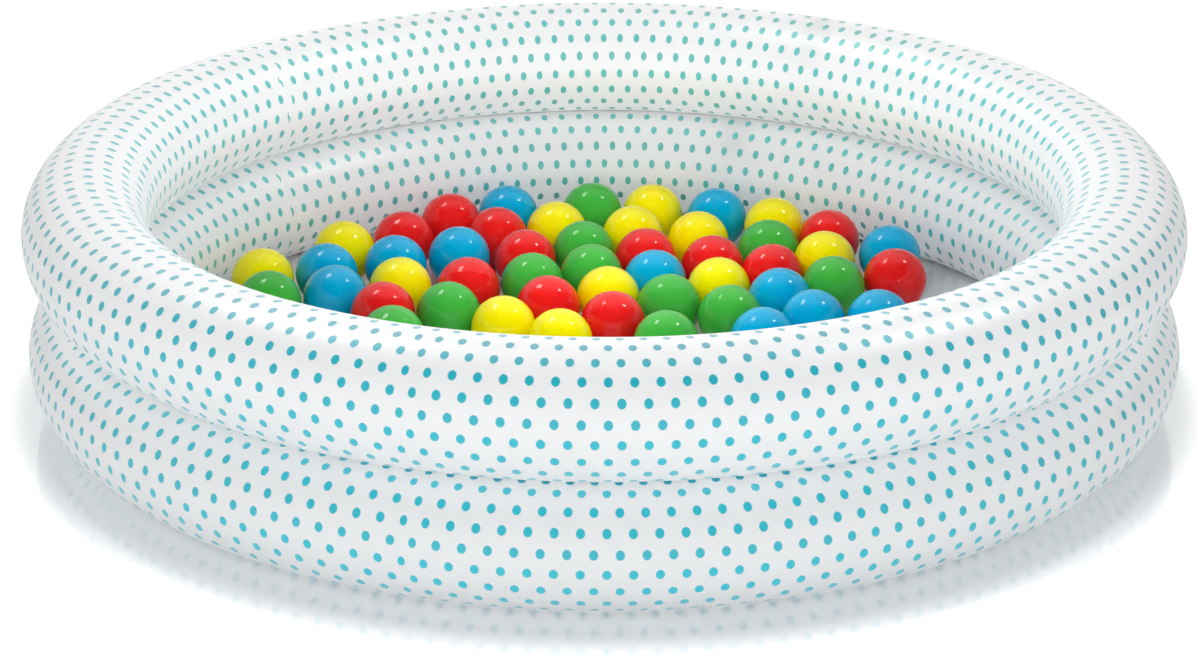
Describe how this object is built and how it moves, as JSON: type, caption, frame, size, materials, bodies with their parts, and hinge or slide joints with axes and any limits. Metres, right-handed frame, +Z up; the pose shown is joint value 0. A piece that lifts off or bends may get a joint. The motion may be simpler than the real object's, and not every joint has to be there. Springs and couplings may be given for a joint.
{
  "type": "ball pit",
  "caption": "Round inflatable ball pit: stacked air tubes with a dotted print on a floor sheet, plugged one-way air valves at the back, and loose coloured plastic balls.",
  "frame": {"origin": "on the ground under the middle of the pit", "axes": "+Z up out of the pit, -Y towards the front that the picture shows, the air valves on the back towards +Y"},
  "size_m": [1.11, 1.11, 0.2375],
  "materials": {
    "tube_vinyl": "glossy pearl white vinyl with small teal dots",
    "band_vinyl": "glossy welded vinyl, printed teal",
    "floor_vinyl": "glossy plain pale vinyl",
    "valve_vinyl": "soft moulded pale vinyl",
    "yellow_ball_plastic": "glossy blown plastic",
    "red_ball_plastic": "glossy blown plastic",
    "green_ball_plastic": "glossy blown plastic",
    "blue_ball_plastic": "glossy blown plastic"
  },
  "bodies": {
    "pit": {"upper_tube": "tube_vinyl", "lower_tube": "tube_vinyl", "weld_band": "band_vinyl", "floor_sheet": "floor_vinyl"},
    "lower_valve_neck": {"lower_valve_neck": "valve_vinyl"},
    "lower_valve_plug": {"lower_valve_plug": "valve_vinyl"},
    "lower_valve_flap": {"lower_valve_flap": "valve_vinyl"},
    "upper_valve_neck": {"upper_valve_neck": "valve_vinyl"},
    "upper_valve_plug": {"upper_valve_plug": "valve_vinyl"},
    "upper_valve_flap": {"upper_valve_flap": "valve_vinyl"},
    "blue_ball_01": {"blue_ball_01": "blue_ball_plastic"},
    "blue_ball_02": {"blue_ball_02": "blue_ball_plastic"},
    "blue_ball_03": {"blue_ball_03": "blue_ball_plastic"},
    "blue_ball_04": {"blue_ball_04": "blue_ball_plastic"},
    "blue_ball_05": {"blue_ball_05": "blue_ball_plastic"},
    "blue_ball_06": {"blue_ball_06": "blue_ball_plastic"},
    "blue_ball_07": {"blue_ball_07": "blue_ball_plastic"},
    "blue_ball_08": {"blue_ball_08": "blue_ball_plastic"},
    "blue_ball_09": {"blue_ball_09": "blue_ball_plastic"},
    "blue_ball_10": {"blue_ball_10": "blue_ball_plastic"},
    "blue_ball_11": {"blue_ball_11": "blue_ball_plastic"},
    "blue_ball_12": {"blue_ball_12": "blue_ball_plastic"},
    "green_ball_01": {"green_ball_01": "green_ball_plastic"},
    "green_ball_02": {"green_ball_02": "green_ball_plastic"},
    "green_ball_03": {"green_ball_03": "green_ball_plastic"},
    "green_ball_04": {"green_ball_04": "green_ball_plastic"},
    "green_ball_05": {"green_ball_05": "green_ball_plastic"},
    "green_ball_06": {"green_ball_06": "green_ball_plastic"},
    "green_ball_07": {"green_ball_07": "green_ball_plastic"},
    "green_ball_08": {"green_ball_08": "green_ball_plastic"},
    "green_ball_09": {"green_ball_09": "green_ball_plastic"},
    "green_ball_10": {"green_ball_10": "green_ball_plastic"},
    "green_ball_11": {"green_ball_11": "green_ball_plastic"},
    "green_ball_12": {"green_ball_12": "green_ball_plastic"},
    "red_ball_01": {"red_ball_01": "red_ball_plastic"},
    "red_ball_02": {"red_ball_02": "red_ball_plastic"},
    "red_ball_03": {"red_ball_03": "red_ball_plastic"},
    "red_ball_04": {"red_ball_04": "red_ball_plastic"},
    "red_ball_05": {"red_ball_05": "red_ball_plastic"},
    "red_ball_06": {"red_ball_06": "red_ball_plastic"},
    "red_ball_07": {"red_ball_07": "red_ball_plastic"},
    "red_ball_08": {"red_ball_08": "red_ball_plastic"},
    "red_ball_09": {"red_ball_09": "red_ball_plastic"},
    "red_ball_10": {"red_ball_10": "red_ball_plastic"},
    "red_ball_11": {"red_ball_11": "red_ball_plastic"},
    "red_ball_12": {"red_ball_12": "red_ball_plastic"},
    "red_ball_13": {"red_ball_13": "red_ball_plastic"},
    "yellow_ball_01": {"yellow_ball_01": "yellow_ball_plastic"},
    "yellow_ball_02": {"yellow_ball_02": "yellow_ball_plastic"},
    "yellow_ball_03": {"yellow_ball_03": "yellow_ball_plastic"},
    "yellow_ball_04": {"yellow_ball_04": "yellow_ball_plastic"},
    "yellow_ball_05": {"yellow_ball_05": "yellow_ball_plastic"},
    "yellow_ball_06": {"yellow_ball_06": "yellow_ball_plastic"},
    "yellow_ball_07": {"yellow_ball_07": "yellow_ball_plastic"},
    "yellow_ball_08": {"yellow_ball_08": "yellow_ball_plastic"},
    "yellow_ball_09": {"yellow_ball_09": "yellow_ball_plastic"},
    "yellow_ball_10": {"yellow_ball_10": "yellow_ball_plastic"},
    "yellow_ball_11": {"yellow_ball_11": "yellow_ball_plastic"},
    "yellow_ball_12": {"yellow_ball_12": "yellow_ball_plastic"},
    "yellow_ball_13": {"yellow_ball_13": "yellow_ball_plastic"}
  },
  "joints": [
    {"name": "air_valve_lower_neck_slide", "type": "slide", "parent": "pit", "child": "lower_valve_neck", "axis": [0.2756, 0.9613, 0], "range_m": [0, 0.008]},
    {"name": "air_valve_lower_plug_hinge", "type": "hinge", "parent": "lower_valve_neck", "child": "lower_valve_plug", "pos_m": [0.15397, 0.53696, 0.07427], "axis": [0.9613, -0.2756, 0], "range_deg": [0, 120]},
    {"name": "air_valve_lower_flap_hinge", "type": "hinge", "parent": "lower_valve_neck", "child": "lower_valve_flap", "pos_m": [0.14796, 0.51601, 0.06548], "axis": [-0.9613, 0.2756, 0], "range_deg": [0, 50]},
    {"name": "air_valve_upper_neck_slide", "type": "slide", "parent": "pit", "child": "upper_valve_neck", "axis": [0.4384, 0.8988, 0], "range_m": [0, 0.008]},
    {"name": "air_valve_upper_plug_hinge", "type": "hinge", "parent": "upper_valve_neck", "child": "upper_valve_plug", "pos_m": [0.24487, 0.50207, 0.19252], "axis": [0.8988, -0.4384, 0], "range_deg": [0, 120]},
    {"name": "air_valve_upper_flap_hinge", "type": "hinge", "parent": "upper_valve_neck", "child": "upper_valve_flap", "pos_m": [0.23532, 0.48247, 0.18372], "axis": [-0.8988, 0.4384, 0], "range_deg": [0, 50]},
    {"name": "ball_blue_01_lift", "type": "slide", "parent": "pit", "child": "blue_ball_01", "axis": [0, 0, 1], "range_m": [0, 0.26]},
    {"name": "ball_blue_02_lift", "type": "slide", "parent": "pit", "child": "blue_ball_02", "axis": [0, 0, 1], "range_m": [0, 0.26]},
    {"name": "ball_blue_03_lift", "type": "slide", "parent": "pit", "child": "blue_ball_03", "axis": [0, 0, 1], "range_m": [0, 0.26]},
    {"name": "ball_blue_04_lift", "type": "slide", "parent": "pit", "child": "blue_ball_04", "axis": [0, 0, 1], "range_m": [0, 0.26]},
    {"name": "ball_blue_05_lift", "type": "slide", "parent": "pit", "child": "blue_ball_05", "axis": [0, 0, 1], "range_m": [0, 0.26]},
    {"name": "ball_blue_06_lift", "type": "slide", "parent": "pit", "child": "blue_ball_06", "axis": [0, 0, 1], "range_m": [0, 0.26]},
    {"name": "ball_blue_07_lift", "type": "slide", "parent": "pit", "child": "blue_ball_07", "axis": [0, 0, 1], "range_m": [0, 0.26]},
    {"name": "ball_blue_08_lift", "type": "slide", "parent": "pit", "child": "blue_ball_08", "axis": [0, 0, 1], "range_m": [0, 0.26]},
    {"name": "ball_blue_09_lift", "type": "slide", "parent": "pit", "child": "blue_ball_09", "axis": [0, 0, 1], "range_m": [0, 0.26]},
    {"name": "ball_blue_10_lift", "type": "slide", "parent": "pit", "child": "blue_ball_10", "axis": [0, 0, 1], "range_m": [0, 0.26]},
    {"name": "ball_blue_11_lift", "type": "slide", "parent": "pit", "child": "blue_ball_11", "axis": [0, 0, 1], "range_m": [0, 0.26]},
    {"name": "ball_blue_12_lift", "type": "slide", "parent": "pit", "child": "blue_ball_12", "axis": [0, 0, 1], "range_m": [0, 0.26]},
    {"name": "ball_green_01_lift", "type": "slide", "parent": "pit", "child": "green_ball_01", "axis": [0, 0, 1], "range_m": [0, 0.26]},
    {"name": "ball_green_02_lift", "type": "slide", "parent": "pit", "child": "green_ball_02", "axis": [0, 0, 1], "range_m": [0, 0.26]},
    {"name": "ball_green_03_lift", "type": "slide", "parent": "pit", "child": "green_ball_03", "axis": [0, 0, 1], "range_m": [0, 0.26]},
    {"name": "ball_green_04_lift", "type": "slide", "parent": "pit", "child": "green_ball_04", "axis": [0, 0, 1], "range_m": [0, 0.26]},
    {"name": "ball_green_05_lift", "type": "slide", "parent": "pit", "child": "green_ball_05", "axis": [0, 0, 1], "range_m": [0, 0.26]},
    {"name": "ball_green_06_lift", "type": "slide", "parent": "pit", "child": "green_ball_06", "axis": [0, 0, 1], "range_m": [0, 0.26]},
    {"name": "ball_green_07_lift", "type": "slide", "parent": "pit", "child": "green_ball_07", "axis": [0, 0, 1], "range_m": [0, 0.26]},
    {"name": "ball_green_08_lift", "type": "slide", "parent": "pit", "child": "green_ball_08", "axis": [0, 0, 1], "range_m": [0, 0.26]},
    {"name": "ball_green_09_lift", "type": "slide", "parent": "pit", "child": "green_ball_09", "axis": [0, 0, 1], "range_m": [0, 0.26]},
    {"name": "ball_green_10_lift", "type": "slide", "parent": "pit", "child": "green_ball_10", "axis": [0, 0, 1], "range_m": [0, 0.26]},
    {"name": "ball_green_11_lift", "type": "slide", "parent": "pit", "child": "green_ball_11", "axis": [0, 0, 1], "range_m": [0, 0.26]},
    {"name": "ball_green_12_lift", "type": "slide", "parent": "pit", "child": "green_ball_12", "axis": [0, 0, 1], "range_m": [0, 0.26]},
    {"name": "ball_red_01_lift", "type": "slide", "parent": "pit", "child": "red_ball_01", "axis": [0, 0, 1], "range_m": [0, 0.26]},
    {"name": "ball_red_02_lift", "type": "slide", "parent": "pit", "child": "red_ball_02", "axis": [0, 0, 1], "range_m": [0, 0.26]},
    {"name": "ball_red_03_lift", "type": "slide", "parent": "pit", "child": "red_ball_03", "axis": [0, 0, 1], "range_m": [0, 0.26]},
    {"name": "ball_red_04_lift", "type": "slide", "parent": "pit", "child": "red_ball_04", "axis": [0, 0, 1], "range_m": [0, 0.26]},
    {"name": "ball_red_05_lift", "type": "slide", "parent": "pit", "child": "red_ball_05", "axis": [0, 0, 1], "range_m": [0, 0.26]},
    {"name": "ball_red_06_lift", "type": "slide", "parent": "pit", "child": "red_ball_06", "axis": [0, 0, 1], "range_m": [0, 0.26]},
    {"name": "ball_red_07_lift", "type": "slide", "parent": "pit", "child": "red_ball_07", "axis": [0, 0, 1], "range_m": [0, 0.26]},
    {"name": "ball_red_08_lift", "type": "slide", "parent": "pit", "child": "red_ball_08", "axis": [0, 0, 1], "range_m": [0, 0.26]},
    {"name": "ball_red_09_lift", "type": "slide", "parent": "pit", "child": "red_ball_09", "axis": [0, 0, 1], "range_m": [0, 0.26]},
    {"name": "ball_red_10_lift", "type": "slide", "parent": "pit", "child": "red_ball_10", "axis": [0, 0, 1], "range_m": [0, 0.26]},
    {"name": "ball_red_11_lift", "type": "slide", "parent": "pit", "child": "red_ball_11", "axis": [0, 0, 1], "range_m": [0, 0.26]},
    {"name": "ball_red_12_lift", "type": "slide", "parent": "pit", "child": "red_ball_12", "axis": [0, 0, 1], "range_m": [0, 0.26]},
    {"name": "ball_red_13_lift", "type": "slide", "parent": "pit", "child": "red_ball_13", "axis": [0, 0, 1], "range_m": [0, 0.26]},
    {"name": "ball_yellow_01_lift", "type": "slide", "parent": "pit", "child": "yellow_ball_01", "axis": [0, 0, 1], "range_m": [0, 0.26]},
    {"name": "ball_yellow_02_lift", "type": "slide", "parent": "pit", "child": "yellow_ball_02", "axis": [0, 0, 1], "range_m": [0, 0.26]},
    {"name": "ball_yellow_03_lift", "type": "slide", "parent": "pit", "child": "yellow_ball_03", "axis": [0, 0, 1], "range_m": [0, 0.26]},
    {"name": "ball_yellow_04_lift", "type": "slide", "parent": "pit", "child": "yellow_ball_04", "axis": [0, 0, 1], "range_m": [0, 0.26]},
    {"name": "ball_yellow_05_lift", "type": "slide", "parent": "pit", "child": "yellow_ball_05", "axis": [0, 0, 1], "range_m": [0, 0.26]},
    {"name": "ball_yellow_06_lift", "type": "slide", "parent": "pit", "child": "yellow_ball_06", "axis": [0, 0, 1], "range_m": [0, 0.26]},
    {"name": "ball_yellow_07_lift", "type": "slide", "parent": "pit", "child": "yellow_ball_07", "axis": [0, 0, 1], "range_m": [0, 0.26]},
    {"name": "ball_yellow_08_lift", "type": "slide", "parent": "pit", "child": "yellow_ball_08", "axis": [0, 0, 1], "range_m": [0, 0.26]},
    {"name": "ball_yellow_09_lift", "type": "slide", "parent": "pit", "child": "yellow_ball_09", "axis": [0, 0, 1], "range_m": [0, 0.26]},
    {"name": "ball_yellow_10_lift", "type": "slide", "parent": "pit", "child": "yellow_ball_10", "axis": [0, 0, 1], "range_m": [0, 0.26]},
    {"name": "ball_yellow_11_lift", "type": "slide", "parent": "pit", "child": "yellow_ball_11", "axis": [0, 0, 1], "range_m": [0, 0.26]},
    {"name": "ball_yellow_12_lift", "type": "slide", "parent": "pit", "child": "yellow_ball_12", "axis": [0, 0, 1], "range_m": [0, 0.26]},
    {"name": "ball_yellow_13_lift", "type": "slide", "parent": "pit", "child": "yellow_ball_13", "axis": [0, 0, 1], "range_m": [0, 0.26]}
  ]
}
